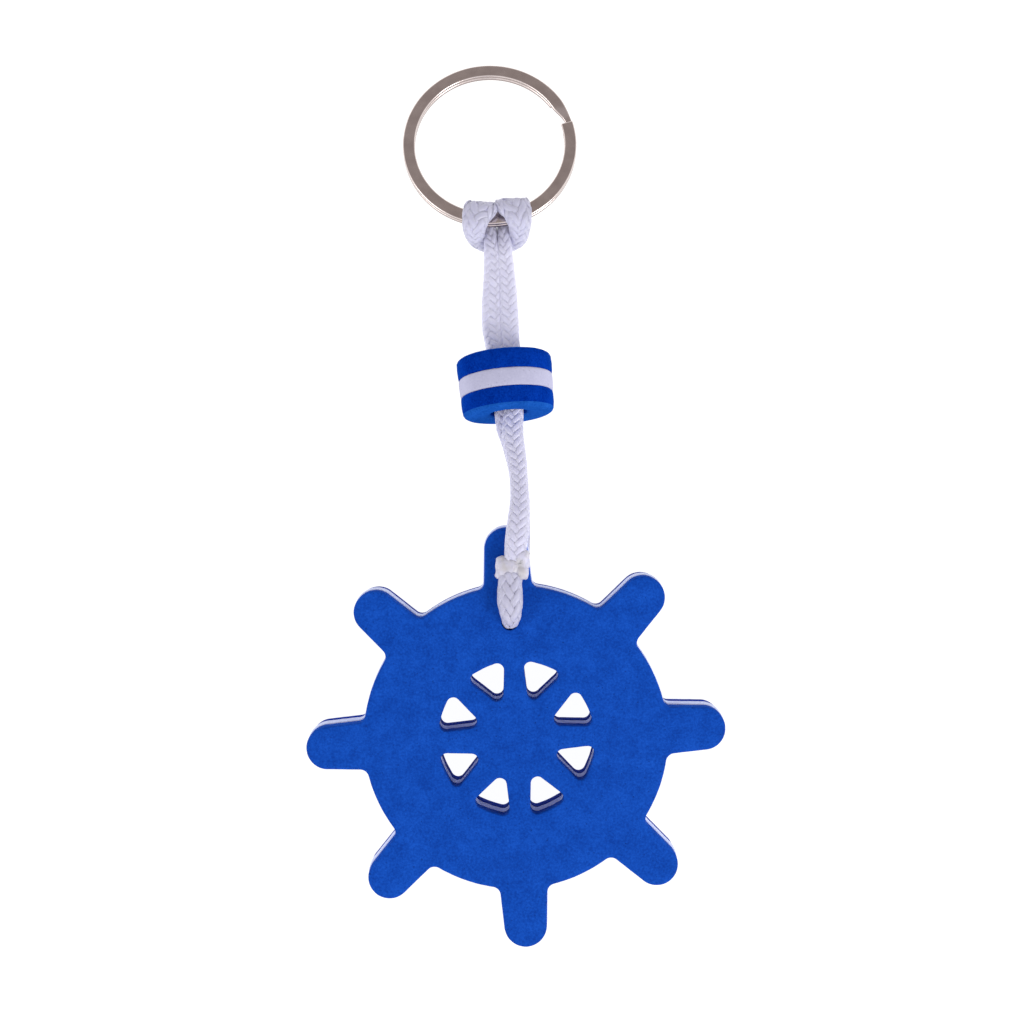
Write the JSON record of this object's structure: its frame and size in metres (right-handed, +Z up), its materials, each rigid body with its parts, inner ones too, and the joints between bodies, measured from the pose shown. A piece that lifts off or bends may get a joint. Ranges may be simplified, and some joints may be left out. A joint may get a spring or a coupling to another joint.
{
  "type": "floating keychain",
  "caption": "Floating keychain: a laminated foam ship's wheel and a foam bead on a loop of braided cord, cow-hitched to a split ring that holds keys.",
  "frame": {"origin": "on the floor, under the middle of the foam and the ring, as the keychain lies on its back", "axes": "+Z up off the floor, +Y from the wheel towards the split ring, +X to the right as seen from above"},
  "size_m": [0.0716, 0.1521, 0.0178],
  "materials": {
    "blue_foam": "matt closed-cell foam, fine pores",
    "white_foam": "matt closed-cell foam, cut edge",
    "cord": "braided polyester, soft sheen",
    "melted_cord": "melted, slightly translucent",
    "plated_steel": "nickel plated, smooth"
  },
  "bodies": {
    "wheel_float": {"wheel_front_layer": "blue_foam", "wheel_core_layer": "white_foam", "wheel_rear_layer": "blue_foam", "cord": "cord", "cord_weld": "melted_cord"},
    "bead_float": {"bead_upper_layer": "blue_foam", "bead_middle_layer": "white_foam", "bead_lower_layer": "blue_foam"},
    "ring": {"split_ring": "plated_steel"}
  },
  "joints": [
    {"name": "bead_slide", "type": "slide", "parent": "wheel_float", "child": "bead_float", "axis": [-0.0695, 0.9945, -0.0785], "range_m": [-0.0025, 0.014]},
    {"name": "ring_turn", "type": "hinge", "parent": "wheel_float", "child": "ring", "pos_m": [-0.0045, 0.06137, 0.0053], "axis": [0, 0.2588, 0.9659], "continuous": true}
  ]
}
